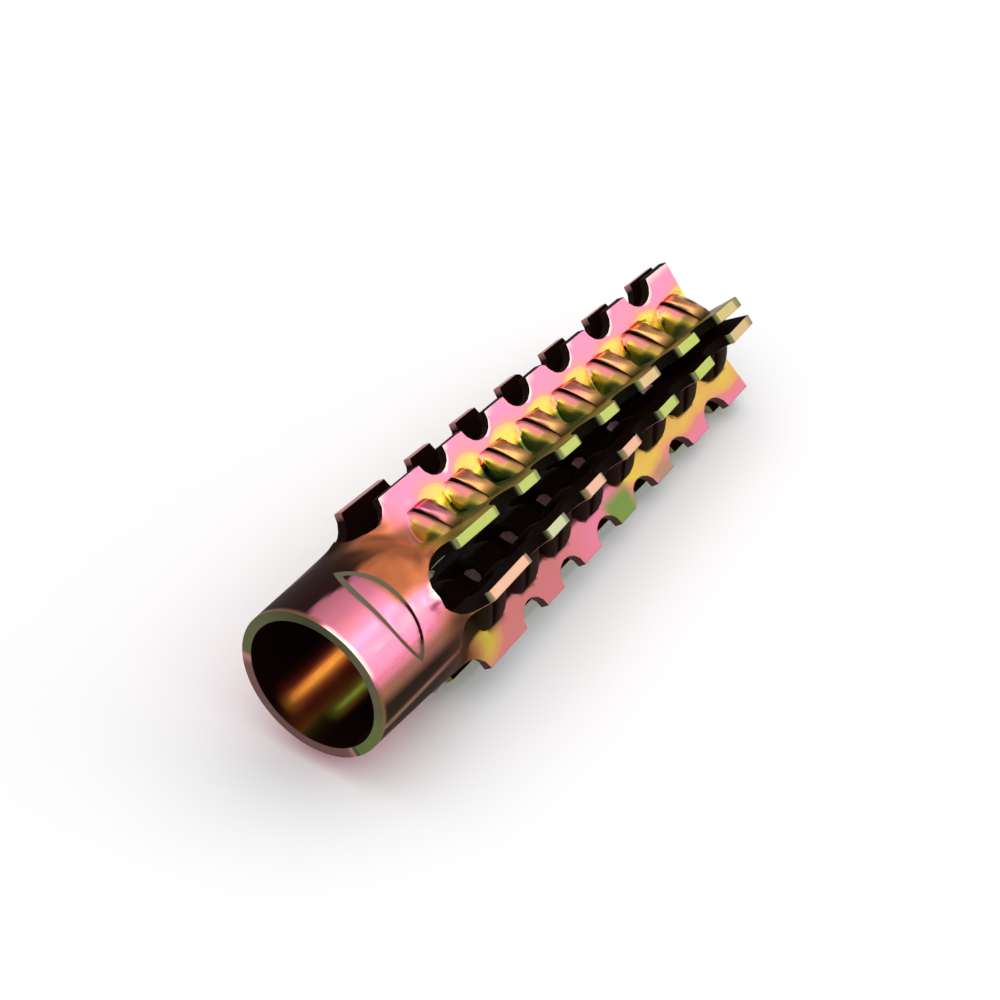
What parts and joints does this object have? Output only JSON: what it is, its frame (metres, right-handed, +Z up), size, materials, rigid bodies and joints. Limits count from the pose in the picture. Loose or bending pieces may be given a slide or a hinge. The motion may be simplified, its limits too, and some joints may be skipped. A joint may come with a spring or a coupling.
{
  "type": "expansion anchor",
  "caption": "Folded sheet-steel expansion anchor with a round neck and toothed double-walled fins that taper to the tip, for a screw in aerated concrete.",
  "frame": {"origin": "centre of the bounding box in plan, on the surface that the anchor lies on", "axes": "+X along the anchor from the mouth of the neck to the tip, +Z up; the anchor lies on two fins, so its own axis falls 3.5 degrees towards the tip"},
  "size_m": [0.0384, 0.0112, 0.0112],
  "materials": {
    "chromated_steel": "bright yellow chromate, iridescent pink, yellow and green"
  },
  "bodies": {
    "root": {"anchor_sleeve": "chromated_steel"}
  },
  "joints": []
}
